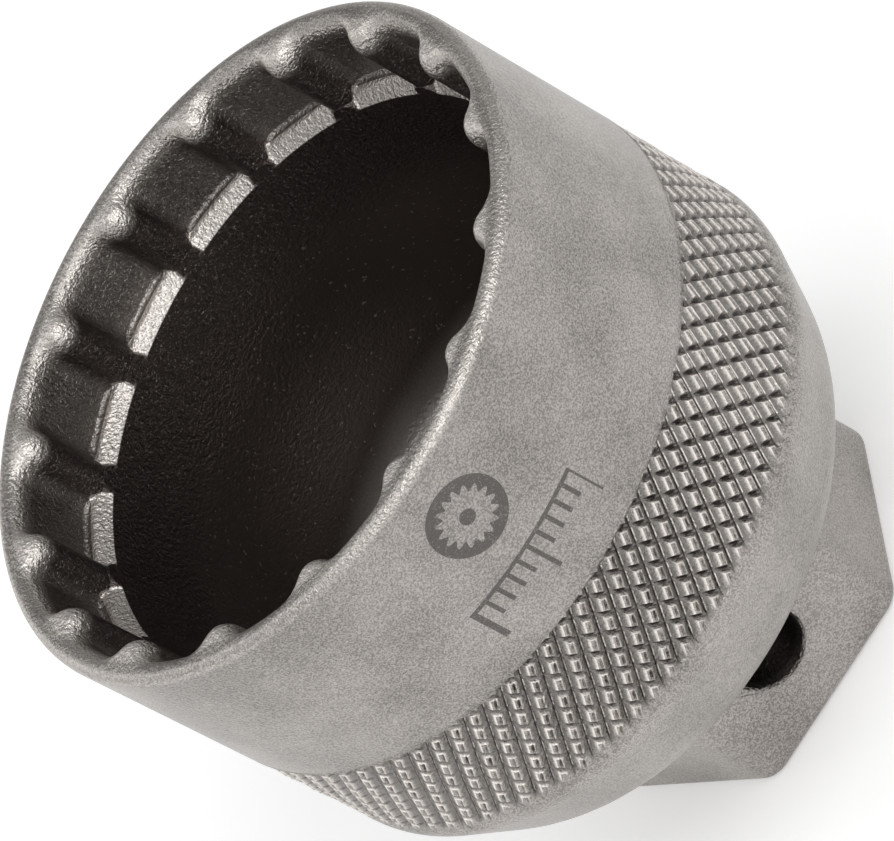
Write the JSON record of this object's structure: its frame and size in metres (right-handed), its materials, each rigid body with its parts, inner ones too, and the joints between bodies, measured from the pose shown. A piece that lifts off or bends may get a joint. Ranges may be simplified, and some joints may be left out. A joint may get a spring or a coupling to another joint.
{
  "type": "splined cup socket",
  "caption": "One-piece steel socket for splined external bearing cups, with a toothed mouth, knurled band, hexagonal end, square drive hole and cross hole.",
  "frame": {"origin": "centre of the drive end's flat face, on the tool's axis", "axes": "+Z along the tool's axis out of the toothed mouth; -Y through the middle of the hex flat that the cross hole enters"},
  "size_m": [0.048, 0.048, 0.0473],
  "materials": {
    "blasted_nickel_steel": "bead-blasted and nickel-plated steel: warm grey, satin, with a fine grain all over"
  },
  "bodies": {
    "root": {"socket_body": "blasted_nickel_steel"}
  },
  "joints": []
}
